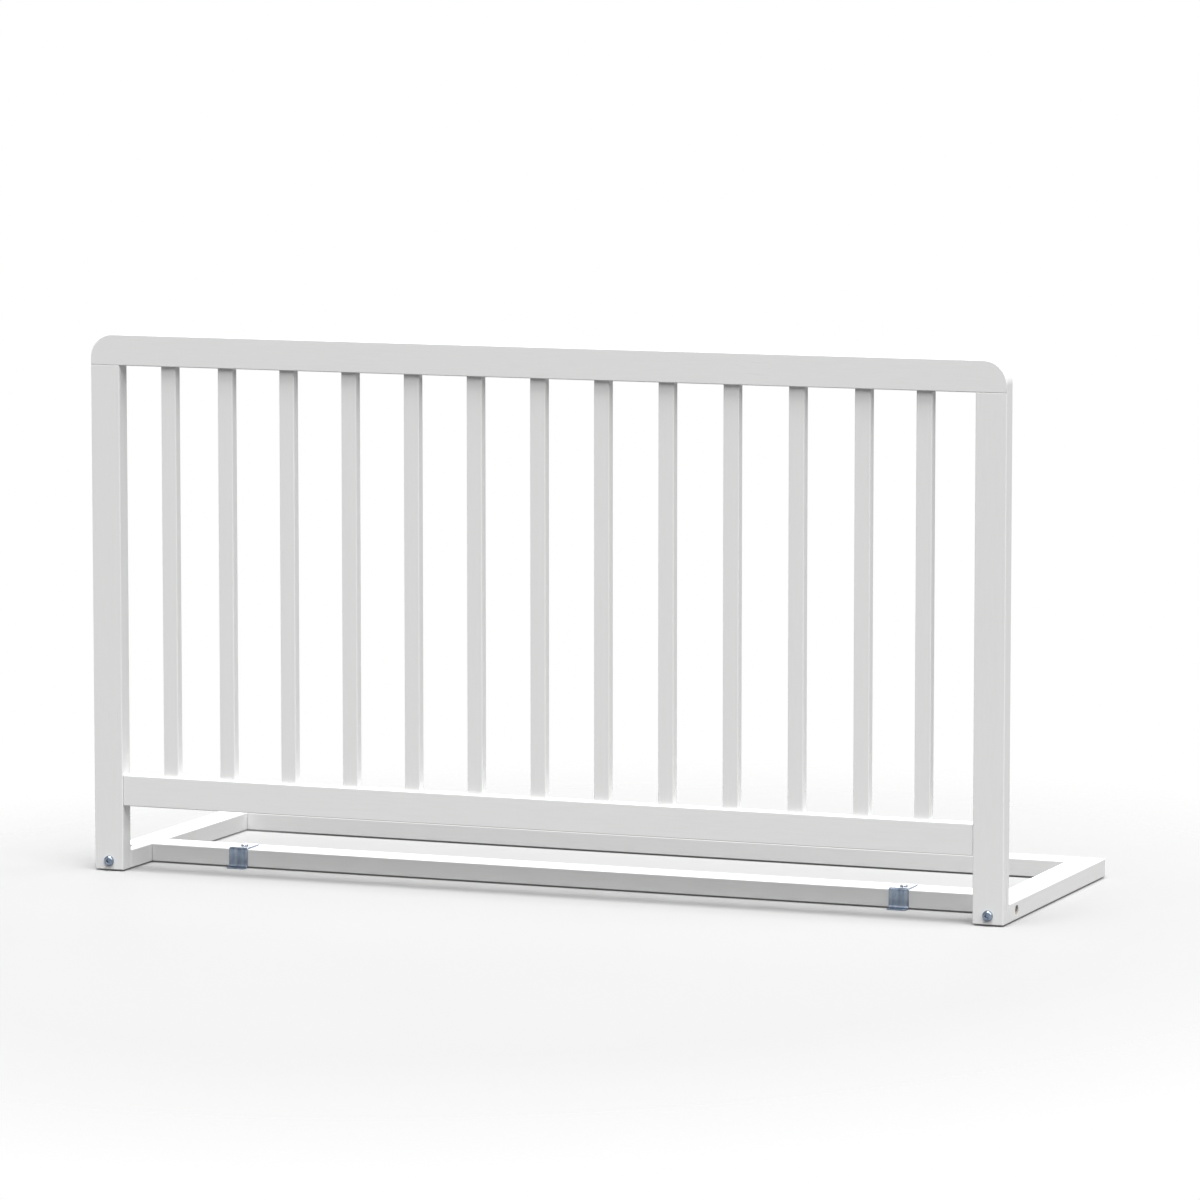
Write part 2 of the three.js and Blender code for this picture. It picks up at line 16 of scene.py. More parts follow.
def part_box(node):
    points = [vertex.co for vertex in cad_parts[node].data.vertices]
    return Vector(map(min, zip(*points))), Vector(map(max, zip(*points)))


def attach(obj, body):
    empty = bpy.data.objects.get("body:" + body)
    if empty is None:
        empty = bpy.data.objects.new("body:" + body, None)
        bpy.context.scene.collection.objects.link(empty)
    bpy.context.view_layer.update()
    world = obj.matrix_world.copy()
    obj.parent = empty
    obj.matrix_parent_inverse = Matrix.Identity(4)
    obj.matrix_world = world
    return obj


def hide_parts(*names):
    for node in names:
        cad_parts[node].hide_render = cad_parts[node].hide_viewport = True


bl_info = {
    "name": "Folding Bed Guard Rail",
    "version": (1, 0, 0),
    "blender": (4, 5, 0),
    "location": "View3D > Sidebar > Guard",
    "description": "Builds a bed guard's lacquered timber, zinc-plated fittings and studio",
    "category": "Add Mesh",
}

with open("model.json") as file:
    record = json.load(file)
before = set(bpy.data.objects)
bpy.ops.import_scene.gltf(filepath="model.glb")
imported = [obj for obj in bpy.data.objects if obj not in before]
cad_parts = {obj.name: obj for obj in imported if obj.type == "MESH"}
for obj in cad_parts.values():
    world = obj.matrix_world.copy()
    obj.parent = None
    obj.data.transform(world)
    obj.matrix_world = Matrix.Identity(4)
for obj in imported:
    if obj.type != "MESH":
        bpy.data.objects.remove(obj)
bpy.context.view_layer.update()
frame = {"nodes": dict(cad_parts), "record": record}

SIDES = {"left": -1.0, "right": 1.0}
SLATS = [name for name in sorted(frame["nodes"]) if name.startswith("slat_")]
BODY_OF = {
    node: body for body, nodes in frame["record"]["behaviour"]["bodies"].items() for node in nodes
}

X, Y, Z = 0, 1, 2
QUARTER = np.pi / 2


# Fineness of the round forms

FINE_CIRCLE, CIRCLE, SMALL_CIRCLE = 64, 48, 32
CORNER_POINTS, SLOT_POINTS, ARC_POINTS = 33, 17, 13
EDGE_STEPS, EASE_STEPS = 7, 4
DOME_POINTS, RIM_POINTS = 14, 4
SHEET_POINTS, SHEET_STEPS = 5, 3
STEPS_PER_PITCH = 8
LEAST_STEP_DIGITS = 9  # stations that agree to this many decimals are one
SHARP_ANGLE = 32.0


# Small details of the pieces

LEAST_ROUNDING = 0.1  # share of an edge's radius that is left however far a section has shrunk
RIM_ROUNDING = 0.25  # share of a head's rim that is rounded at its seat
CUT_OVER, LONG_CUT_OVER = 0.001, 0.004  # how far a cutter runs past the face that it enters
CUTTER_EASE = 0.0001  # easing of the ends of the small cutters
NUT_BORE_REACH = 0.0103  # from the nut's middle to the floor of its bore
SCREW_GAP = 0.0003  # between a clip's screw and its hole
SCREW_TIP_RADIUS, SCREW_TIP_LENGTH, SCREW_TAPER, SCREW_NECK = 0.0002, 0.003, 0.98, 0.0002
SCREW_CROWN = 0.575  # flat top of the screw's head as a share of the head's radius
SCREW_RIM = 3  # height of the screw's head over the height of its rim
RECESS_REACH, RECESS_DEPTH, RECESS_OVER, RECESS_ROUNDING = 0.0017, 0.0008, 0.003, 0.5
SOCKET_MOUTH = ((1.25, -0.0003), (0.86, 0.00028))  # share of corner's radius, place from crown
BOLT_FILLET, BOLT_TIP = 0.0002, 0.0008
THREAD_LEAD = 0.001  # smooth shank between the neck's end and the thread's first turn
THREAD_DEPTH = 0.55  # depth of the thread as a share of its pitch
NUT_CHAMFER, NUT_GAP = 0.0006, 0.0003
NUT_SLOT_DEPTH, NUT_SLOT_OVER, NUT_SLOT_ROUNDING = 0.0012, 0.002, 0.2
SHEET_ROUNDING = 0.2  # share of the sheet's thickness by which its edges are rounded
FLOOR_PATCHES = 0.985  # darkest floor as a share of its colour


# Studio

FLOOR_HALF = 3.0
OVAL_SCALE, OVAL_SHIFT, OVAL_FADE = (1.0, 0.8, 0.0), (-0.06, 0.28, 0.0), (0.60, 1.0)
DAYLIGHTS = (  # name, where the light comes from, strength, angle of its disc in degrees
    ("overhead", (0.0, -0.13, 1.0), 4.2, 24.0),
    ("front", (0.0, -0.8, 1.0), 1.25, 50.0),
    ("right", (0.9, -0.3, 1.0), 2.35, 60.0),
)
CARD_PLACE, CARD_TARGET = (-1.9, 5.0, 0.75), (-0.3, 0.0, 0.05)
CARD_POWER, CARD_WIDTH, CARD_HEIGHT = 24.0, 3.0, 1.2
WHITE_ON_THINGS, WHITE_IN_GLOSS, WHITE_SEEN = 0.19, 0.7, 1.0
CAMERA_AZIMUTH, CAMERA_ELEVATION = 21.652, 6.502
CAMERA_AIM, CAMERA_DISTANCE = (0.071, -0.17225, 0.3152), 6.6513
LENS, SENSOR_WIDTH = 193.416, 36.0
NEAREST, FARTHEST = 0.1, 100.0


# Sizes and colours


def _length(name, description, default):
    """A length property in metres."""
    return bpy.props.FloatProperty(
        name=name, description=description, default=default, min=0.0, max=0.1,
        subtype="DISTANCE", unit="LENGTH", precision=5,
    )


def _colour(name, description, default):
    """A linear colour property."""
    return bpy.props.FloatVectorProperty(
        name=name, description=description, default=default, size=3, min=0.0, max=1.0,
        subtype="COLOR",
    )


class GuardSizes(bpy.types.PropertyGroup):
    """Sizes that the frame's boxes don't give."""

    timber_edge: _length("Timber edge", "Rounding of long edges other than the slats'", 0.001)
    slat_edge: _length("Slat edge", "Rounding of the slats' long edges", 0.001)
    free_end: _length("Free end", "Easing of an end that stands free", 0.001)
    joint_end: _length("Joint end", "Easing of an end that butts against another piece", 0.0016)
    tight_end: _length("Tight end", "Easing of the slats' ends and of the posts' tops", 0.00035)
    rail_corner: _length("Rail corner", "Radius of the top rail's upper corners", 0.025)
    mortise_gap: _length("Mortise gap", "Gap round a slat where it enters a rail", 0.00015)
    hole_flare: _length("Hole flare", "Chamfer at the mouth of a hole or slot", 0.0002)
    contact_gap: _length("Contact gap", "Clear space between two bodies that meet", 0.00002)
    bolt_hole: _length("Bolt hole", "Diameter of the bolt hole, width of the bolt slot", 0.007)
    nut_bore: _length("Nut bore", "Diameter of the bore across the arm", 0.0106)
    slot_reach: _length("Slot reach", "From the panel's front face to the slot's round end", 0.0525)
    clip_sheet: _length("Clip sheet", "Thickness of the clips' sheet", 0.0015)
    clip_bend: _length("Clip bend", "Inner radius of the clips' upper bends", 0.0012)
    lip_bend: _length("Lip bend", "Inner radius of the clips' lower bends", 0.003)
    clip_corner: _length("Clip corner", "Corner radius of the clips' outline", 0.0035)
    bolt_shank: _length("Bolt shank", "Diameter of the hinge bolts", 0.006)
    bolt_head: _length("Bolt head", "Height of the hinge bolts' heads", 0.0036)
    bolt_rim: _length("Bolt rim", "Height of the straight rim under the bolt's dome", 0.0009)
    bolt_crown: _length("Bolt crown", "Diameter of the flat on top of the bolt's dome", 0.0054)
    bolt_socket: _length("Bolt socket", "Width across flats of the hexagon socket", 0.004)
    socket_depth: _length("Socket depth", "Depth of the hexagon socket", 0.0021)
    thread_pitch: _length("Thread pitch", "Pitch of the bolt's thread", 0.001)
    thread_start: _length("Thread start", "Length of plain shank under the bolt's head", 0.02)
    nut_slot: _length("Nut slot", "Width of the screwdriver slot in the nuts' ends", 0.0014)
    screw_shank: _length("Screw shank", "Diameter of the clip screws", 0.004)
    screw_head: _length("Screw head", "Height of the clip screws' heads", 0.0018)
    screw_recess: _length("Screw recess", "Width of the arms of the cross recess", 0.001)


class GuardColours(bpy.types.PropertyGroup):
    """Base colours of the finishes, linear."""

    lacquer: _colour("Lacquer", "White lacquer on the timber", (0.84, 0.84, 0.838))
    lacquer_thin: _colour("Thin lacquer", "Lacquer thinned over the grain", (0.80, 0.798, 0.793))
    zinc: _colour("Zinc", "Zinc plate", (0.30, 0.35, 0.42))
    zinc_dark: _colour("Dark zinc", "Duller patches of the zinc plate", (0.13, 0.17, 0.24))
    bright_zinc: _colour("Bright zinc", "Brighter plate of the clip screws", (0.80, 0.83, 0.86))
    bright_dull: _colour("Dull bright zinc", "Duller patches of that plate", (0.60, 0.64, 0.68))
    beech: _colour("Beech", "Bare beech of the dowels", (0.62, 0.42, 0.25))
    beech_dark: _colour("Dark beech", "Grain of the dowels", (0.42, 0.25, 0.13))
    # Walls of holes, slots and mortises: partly the bare timber that is there, partly painted
    # shade, since their dull grey tone stands for the shade inside the hollows.
    bored: _colour("Bored timber", "Dull bare walls of holes and slots", (0.62, 0.59, 0.54))
    shaded_bare_grain: _colour("Dark bored timber", "Grain of the bare walls", (0.46, 0.43, 0.38))
    floor: _colour("Floor", "Studio floor", (0.381, 0.381, 0.381))


# Surfaces as whole arrays


def rounded_ring(width, height, radius, steps):
    """Rectangle with rounded corners, anticlockwise: each corner is a quarter circle of the radius
    about a centre that lies the radius inside both sides."""
    turn = np.linspace(0, QUARTER, steps + 1)
    quarters = np.arange(4)[:, None] * QUARTER + turn[None, :]
    inside = [width / 2 - radius, height / 2 - radius]
    centre = np.array([[1, 1], [-1, 1], [-1, -1], [1, -1]]) * inside
    points = centre[:, None, :] + radius * np.stack([np.cos(quarters), np.sin(quarters)], -1)
    return points.reshape(-1, 2)


def eased(length, low, high, steps):
    """Stations along a bar and how far its section shrinks at each: over the last stretch at an end
    the shrink follows a quarter circle of the easing's radius."""
    turn = np.linspace(0, QUARTER, steps + 1)
    place = np.concatenate([low * (1 - np.cos(turn)), length - high * (1 - np.cos(turn[::-1]))])
    shrink = np.concatenate([low * (1 - np.sin(turn)), high * (1 - np.sin(turn[::-1]))])
    return place, shrink


def skin(rings):
    """Closed surface through rings of like points: quads between neighbouring rings and one flat
    face at each end. The rings' array is stations by points by three. The faces are turned outward,
    by the sign of the sum of each quad's area vector times its distance from the middle."""
    stations, points = rings.shape[:2]
    index = np.arange(stations * points).reshape(stations, points)
    ahead = np.roll(index, -1, axis=1)
    quads = np.stack([index[:-1], ahead[:-1], ahead[1:], index[1:]], -1).reshape(-1, 4)
    verts = rings.reshape(-1, 3)
    a, b, c, d = (verts[quads[:, k]] for k in range(4))
    distance = (a + b + c + d) / 4 - verts.mean(0)
    volume = np.einsum("ij,ij->i", distance, np.cross(c - a, d - b)).sum()
    faces = quads.tolist() + [index[0][::-1].tolist(), index[-1].tolist()]
    if volume < 0:
        faces = [face[::-1] for face in faces]
    return verts, faces


def place_axes(local, axis):
    """Puts a shape drawn as (across, across, along) on the given axis, keeping its handedness."""
    out = np.empty_like(local)
    out[..., [(axis + 1) % 3, (axis + 2) % 3, axis]] = local
    return out


def bar(low, high, axis, edge, ease_low, ease_high, edge_steps=EDGE_STEPS, ease_steps=EASE_STEPS):
    """Bar with rounded long edges between two corners. Its section is a rounded rectangle, which
    shrinks along a quarter circle at both ends."""
    low, high = np.array(low, float), np.array(high, float)
    size, middle = high - low, (high + low) / 2
    width, height = size[(axis + 1) % 3], size[(axis + 2) % 3]
    place, shrink = eased(size[axis], ease_low, ease_high, ease_steps)
    least = edge * LEAST_ROUNDING
    rings = np.stack([
        rounded_ring(width - 2 * less, height - 2 * less, max(edge - less, least), edge_steps)
        for less in shrink
    ])
    along = np.repeat(place[:, None, None], rings.shape[1], 1)
    offset = middle.copy()
    offset[axis] = low[axis]
    return skin(place_axes(np.concatenate([rings, along], -1), axis) + offset)


def lathe(profile, axis, centre, steps=CIRCLE):
    """Solid of revolution: each profile point (radius, place) becomes a circle about the axis."""
    profile = np.array(profile, float)
    angle = np.arange(steps) / steps * 2 * np.pi
    circle = np.stack([np.cos(angle), np.sin(angle)], -1)
    rings = profile[:, 0][:, None, None] * circle[None]
    along = np.repeat(profile[:, 1][:, None, None], steps, 1)
    return skin(place_axes(np.concatenate([rings, along], -1), axis) + np.array(centre, float))


def prism(outlines, places, axis, centre):
    """Solid through outlines of like points, one at each place along the axis."""
    rings = np.array(outlines, float)
    along = np.repeat(np.array(places, float)[:, None, None], rings.shape[1], 1)
    return skin(place_axes(np.concatenate([rings, along], -1), axis) + np.array(centre, float))


def dome(head_radius, crown_radius, rim, height):
    """Profile of a domed head from the seat up: a small rounding, the rim, a quarter ellipse from
    the rim to the crown, and the flat crown."""
    lip = rim * RIM_ROUNDING
    edge = [
        (head_radius - lip * (1 - math.sin(turn)), lip * (1 - math.cos(turn)))
        for turn in np.linspace(0, QUARTER, RIM_POINTS)
    ]
    turn = np.linspace(0, QUARTER, DOME_POINTS)
    curve = np.stack([
        crown_radius + (head_radius - crown_radius) * np.cos(turn),
        rim + (height - rim) * np.sin(turn),
    ], -1)
    return edge + curve.tolist()


def flared(radius, flare, start, end):
    """Profile of a through hole that widens at both mouths, twice as far as the flare is deep."""
    return [
        (radius + 2 * flare, start - flare), (radius, start + flare),
        (radius, end - flare), (radius + 2 * flare, end + flare),
    ]


# Pieces


def new_object(name, surface, material):
    """An object at the origin that holds the surface, in the given material."""
    verts, faces = surface
    mesh = bpy.data.meshes.new(name)
    mesh.from_pydata(verts.tolist(), [], faces)
    mesh.update()
    mesh.materials.append(material)
    obj = bpy.data.objects.new(name, mesh)
    bpy.context.scene.collection.objects.link(obj)
    return obj


def carve(obj, surfaces, bare):
    """Cuts the surfaces out of the object, one after another, and keeps the result as its mesh. The
    walls of the cuts are left in the bare material."""
    for surface in surfaces:
        cutter = new_object("cutter", surface, bare)
        cut = obj.modifiers.new("cut", "BOOLEAN")
        cut.operation = "DIFFERENCE"
        cut.solver = "EXACT"
        cut.material_mode = "TRANSFER"
        cut.object = cutter
        graph = bpy.context.evaluated_depsgraph_get()
        mesh = bpy.data.meshes.new_from_object(obj.evaluated_get(graph))
        obj.modifiers.clear()
        obj.data = mesh
        bpy.data.objects.remove(cutter)


def dress(obj, node):
    """Gives the piece its shading, and stands it in for the frame's node."""
    mesh = obj.data
    mesh.name = obj.name
    mesh.polygons.foreach_set("use_smooth", np.ones(len(mesh.polygons), bool))
    mesh.set_sharp_from_angle(angle=math.radians(SHARP_ANGLE))
    weighted = obj.modifiers.new("even_shading", "WEIGHTED_NORMAL")
    weighted.keep_sharp = True
    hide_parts(node)
    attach(obj, BODY_OF[node])


def box_of(node):
    """Lowest and highest corner of a frame node, as arrays."""
    low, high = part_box(node)
    return np.array(low, float), np.array(high, float)


def middle_of(node):
    """Middle of a frame node's box."""
    low, high = box_of(node)
    return (low + high) / 2


# Materials


class Nodes:
    """Short ways to fill the node tree of a material or of the surroundings."""

    def __init__(self, owner):
        owner.use_nodes = True
        self.tree = owner.node_tree
        self.tree.nodes.clear()

    def fill(self, socket, value):
        """Links the socket to an output of another node, or sets it to a constant."""
        if isinstance(value, bpy.types.NodeSocket):
            self.tree.links.new(value, socket)
        else:
            socket.default_value = value

    def add(self, kind, **inputs):
        """A node of the kind, with the named inputs filled. Underscores stand for spaces."""
        node = self.tree.nodes.new(kind)
        for name, value in inputs.items():
            self.fill(node.inputs[name.replace("_", " ")], value)
        return node

    def maths(self, operation, *values):
        """Result of a sum or product of the values."""
        node = self.add("ShaderNodeMath")
        node.operation = operation
        for socket, value in zip(node.inputs, values):
            self.fill(socket, value)
        return node.outputs[0]

    def noise(self, place, scale, detail, roughness=0.5):
        """Noise of the given scale, read at the place."""
        return self.add(
            "ShaderNodeTexNoise", Vector=place, Scale=scale, Detail=detail, Roughness=roughness,
        ).outputs["Fac"]

    def spread(self, value, source, target):
        """Linear map of a value from the source range to the target range, kept within it."""
        return self.add(
            "ShaderNodeMapRange", Value=value, From_Min=source[0], From_Max=source[1],
            To_Min=target[0], To_Max=target[1],
        ).outputs["Result"]

    def mix(self, factor, first, second):
        """Colour between two colours by a factor. The sockets are taken by number, because the
        node's numbers, vectors and colours share their names."""
        node = self.add("ShaderNodeMix")
        node.data_type = "RGBA"
        for socket, value in ((0, factor), (6, (*first, 1)), (7, (*second, 1))):
            self.fill(node.inputs[socket], value)
        return node.outputs[2]

    def bump(self, height, strength, distance, **below):
        """Normal that is tilted by the height's slope, on top of another normal if one is given."""
        return self.add(
            "ShaderNodeBump", Height=height, Strength=strength, Distance=distance, **below,
        ).outputs["Normal"]

    def places(self, axis, across):
        """Object coordinates, plain, and drawn out along the axis by scaling up the other two."""
        plain = self.add("ShaderNodeTexCoord").outputs["Object"]
        scale = [across, across, across]
        scale[axis] = 1.0
        return plain, self.add("ShaderNodeMapping", Vector=plain, Scale=scale).outputs["Vector"]

    def shade(self, **inputs):
        """A surface shader with the named inputs, led to the material's output."""
        shader = self.add("ShaderNodeBsdfPrincipled", **inputs)
        self.add("ShaderNodeOutputMaterial", Surface=shader.outputs["BSDF"])


def made_once(build):
    """Runs the builder only for a material whose name isn't there yet."""

    def get(name, *details):
        material = bpy.data.materials.get(name)
        if material is None:
            material = bpy.data.materials.new(name)
            build(Nodes(material), *details)
        return material

    get.__doc__ = build.__doc__
    return get


@made_once
def lacquer_material(nodes, axis, full, thin):
    """White satin lacquer over timber whose grain runs along the axis: the colour thins very
    slightly over the grain, the gloss varies, and the surface has grain and a fine orange peel."""
    plain, drawn = nodes.places(axis, across=14.0)
    grain = nodes.noise(drawn, scale=34.0, detail=4.0)
    cloud = nodes.noise(plain, scale=7.0, detail=3.0)
    peel = nodes.noise(plain, scale=620.0, detail=2.0, roughness=0.4)
    thinness = nodes.maths(
        "MULTIPLY",
        nodes.spread(grain, (0.35, 0.75), (0.0, 1.0)),
        nodes.spread(cloud, (0.3, 0.7), (0.15, 0.6)),
    )
    roughness = nodes.maths(
        "ADD",
        nodes.spread(cloud, (0.3, 0.7), (0.28, 0.34)),
        nodes.spread(grain, (0.3, 0.7), (-0.015, 0.015)),
    )
    coarse = nodes.bump(grain, strength=0.10, distance=0.0002)
    nodes.shade(
        Base_Color=nodes.mix(thinness, full, thin),
        Roughness=roughness,
        IOR=1.5,
        Specular_IOR_Level=0.5,
        Normal=nodes.bump(peel, strength=0.05, distance=0.00008, Normal=coarse),
    )


@made_once
def zinc_material(nodes, clear, dull):
    """Zinc plate on steel: bluish, with duller patches, fine rolling marks and uneven gloss."""
    plain, drawn = nodes.places(Z, across=9.0)
    patch = nodes.noise(plain, scale=160.0, detail=4.0, roughness=0.6)
    speck = nodes.noise(plain, scale=1400.0, detail=2.0)
    marks = nodes.noise(drawn, scale=26.0, detail=3.0)
    dullness = nodes.maths(
        "MULTIPLY_ADD",
        nodes.spread(marks, (0.36, 0.62), (0.0, 0.8)),
        nodes.spread(patch, (0.3, 0.7), (0.6, 1.0)),
        nodes.spread(patch, (0.35, 0.7), (0.0, 0.25)),
    )
    roughness = nodes.maths(
        "ADD",
        nodes.spread(patch, (0.3, 0.7), (0.14, 0.24)),
        nodes.spread(speck, (0.3, 0.7), (-0.03, 0.05)),
    )
    lines = nodes.bump(marks, strength=0.10, distance=0.00008)
    nodes.shade(
        Base_Color=nodes.mix(dullness, clear, dull),
        Metallic=1.0,
        Roughness=roughness,
        Normal=nodes.bump(speck, strength=0.12, distance=0.00004, Normal=lines),
    )


@made_once
def beech_material(nodes, pale, dark):
    """Bare timber: short darker flecks along a pale ground, and a dry, slightly rough surface."""
    drawn = nodes.places(X, across=10.0)[1]
    grain = nodes.noise(drawn, scale=120.0, detail=5.0, roughness=0.65)
    fleck = nodes.noise(drawn, scale=420.0, detail=2.0)
    darkness = nodes.maths(
        "MULTIPLY",
        nodes.spread(grain, (0.4, 0.7), (0.2, 1.0)),
        nodes.spread(fleck, (0.4, 0.65), (0.3, 1.0)),
    )
    nodes.shade(
        Base_Color=nodes.mix(darkness, pale, dark),
        Roughness=nodes.spread(fleck, (0.3, 0.7), (0.55, 0.75)),
        IOR=1.45,
        Normal=nodes.bump(grain, strength=0.3, distance=0.0001),
    )


@made_once
def floor_material(nodes, tone):
    """Matt pale studio floor with a barely uneven gloss, which fades into the white surroundings
    as the length of its own coordinates, squeezed to an oval, runs through a range."""
    where = nodes.add("ShaderNodeTexCoord").outputs["Object"]
    cloud = nodes.noise(where, scale=1.3, detail=3.0)
    oval = nodes.add("ShaderNodeMapping", Vector=where, Scale=OVAL_SCALE, Location=OVAL_SHIFT)
    reach = nodes.add("ShaderNodeVectorMath", Vector=oval.outputs["Vector"])
    reach.operation = "LENGTH"
    darker = [channel * FLOOR_PATCHES for channel in tone]
    shader = nodes.add(
        "ShaderNodeBsdfPrincipled",
        Base_Color=nodes.mix(nodes.spread(cloud, (0.3, 0.7), (0.0, 1.0)), tone, darker),
        Roughness=nodes.spread(cloud, (0.3, 0.7), (0.62, 0.72)),
        IOR=1.3,
        Specular_IOR_Level=0.2,
    )
    clear = nodes.add("ShaderNodeBsdfTransparent")
    fade = nodes.add("ShaderNodeMixShader")
    share = nodes.spread(reach.outputs["Value"], OVAL_FADE, (0.0, 1.0))
    for socket, value in zip(fade.inputs, (share, shader.outputs["BSDF"], clear.outputs["BSDF"])):
        nodes.fill(socket, value)
    nodes.add("ShaderNodeOutputMaterial", Surface=fade.outputs["Shader"])


def lacquer(axis, colours):
    """The lacquer for timber that runs along the axis."""
    name = "satin_lacquer_" + "xyz"[axis]
    return lacquer_material(name, axis, colours.lacquer, colours.lacquer_thin)


def shaded_bare_timber(colours):
    """The unlacquered walls of holes, slots and mortises."""
    return beech_material("shaded_bare_timber", colours.bored, colours.shaded_bare_grain)


def blue_zinc(colours):
    """The plate of the bolts, nuts and clips."""
    return zinc_material("blue_zinc", colours.zinc, colours.zinc_dark)


# Operators


class GUARD_OT_posts(bpy.types.Operator):
    """Both posts: bars with rounded long edges, drilled through the foot for the hinge bolt"""

    bl_idname = "guard.posts"
    bl_label = "Posts"
    bl_options = {"REGISTER", "UNDO"}

    def execute(self, context):
        sizes, colours = context.scene.guard_sizes, context.scene.guard_colours
        for side in SIDES:
            low, high = box_of(f"{side}_post")
            bolt = middle_of(f"{side}_barrel_nut")
            post = new_object(
                f"{side}_post_timber",
                bar(low, high, Z, sizes.timber_edge, sizes.free_end, sizes.tight_end),
                lacquer(Z, colours),
            )
            hole = flared(sizes.bolt_hole / 2, sizes.hole_flare, 0.0, high[Y] - low[Y])
            carve(post, [lathe(hole, Y, (bolt[X], low[Y], bolt[Z]))], shaded_bare_timber(colours))
            dress(post, f"{side}_post")
        return {"FINISHED"}


def mortises(sizes):
    """The slats' own forms, a little larger all round, to be cut out of a rail."""
    gap = sizes.mortise_gap
    boxes = (box_of(slat) for slat in SLATS)
    return [
        bar(low - gap, high + gap, Z, sizes.slat_edge + gap, gap, gap, edge_steps=5, ease_steps=1)
        for low, high in boxes
    ]


class GUARD_OT_top_rail(bpy.types.Operator):
    """Top rail: its outline has two quarter-circle upper corners, shrinks along a quarter circle
    at the front and back edges, and has a mortise for each slat"""

    bl_idname = "guard.top_rail"
    bl_label = "Top rail"
    bl_options = {"REGISTER", "UNDO"}

    def execute(self, context):
        sizes, colours = context.scene.guard_sizes, context.scene.guard_colours
        low, high = box_of("top_rail")
        place, shrink = eased(high[Y] - low[Y], sizes.timber_edge, sizes.timber_edge, EDGE_STEPS)
        outlines = np.array([self.outline(low, high, inset, sizes) for inset in shrink])
        along = np.repeat((low[Y] + place)[:, None], outlines.shape[1], 1)
        rings = np.stack([outlines[..., 0], along, outlines[..., 1]], -1)
        rail = new_object("top_rail_timber", skin(rings), lacquer(X, colours))
        carve(rail, mortises(sizes), shaded_bare_timber(colours))
        dress(rail, "top_rail")
        return {"FINISHED"}

    @staticmethod
    def outline(low, high, inset, sizes):
        """The rail's outline seen from the front, at a distance inside its largest one."""
        radius = sizes.rail_corner - inset
        x0, x1, z0, z1 = low[X] + inset, high[X] - inset, low[Z] + inset, high[Z] - inset
        turn = np.linspace(0, QUARTER, CORNER_POINTS)
        arc = np.stack([np.cos(turn), np.sin(turn)], -1)
        right = np.array([x1 - radius, z1 - radius]) + radius * arc
        left = np.array([x0 + radius, z1 - radius]) + radius * arc[::-1] * [-1, 1]
        return np.concatenate([[[x0, z0], [x1, z0]], right, left])


class GUARD_OT_bottom_rail(bpy.types.Operator):
    """Bottom rail between the posts, with a mortise for each slat"""

    bl_idname = "guard.bottom_rail"
    bl_label = "Bottom rail"
    bl_options = {"REGISTER", "UNDO"}

    def execute(self, context):
        sizes, colours = context.scene.guard_sizes, context.scene.guard_colours
        low, high = box_of("bottom_rail")
        form = bar(low, high, X, sizes.timber_edge, sizes.joint_end, sizes.joint_end)
        rail = new_object("bottom_rail_timber", form, lacquer(X, colours))
        carve(rail, mortises(sizes), shaded_bare_timber(colours))
        dress(rail, "bottom_rail")
        return {"FINISHED"}


class GUARD_OT_slats(bpy.types.Operator):
    """The upright slats: slim bars with rounded long edges"""

    bl_idname = "guard.slats"
    bl_label = "Slats"
    bl_options = {"REGISTER", "UNDO"}

    def execute(self, context):
        sizes, colours = context.scene.guard_sizes, context.scene.guard_colours
        for slat in SLATS:
            low, high = box_of(slat)
            form = bar(low, high, Z, sizes.slat_edge, sizes.tight_end, sizes.tight_end)
            dress(new_object(f"{slat}_timber", form, lacquer(Z, colours)), slat)
        return {"FINISHED"}


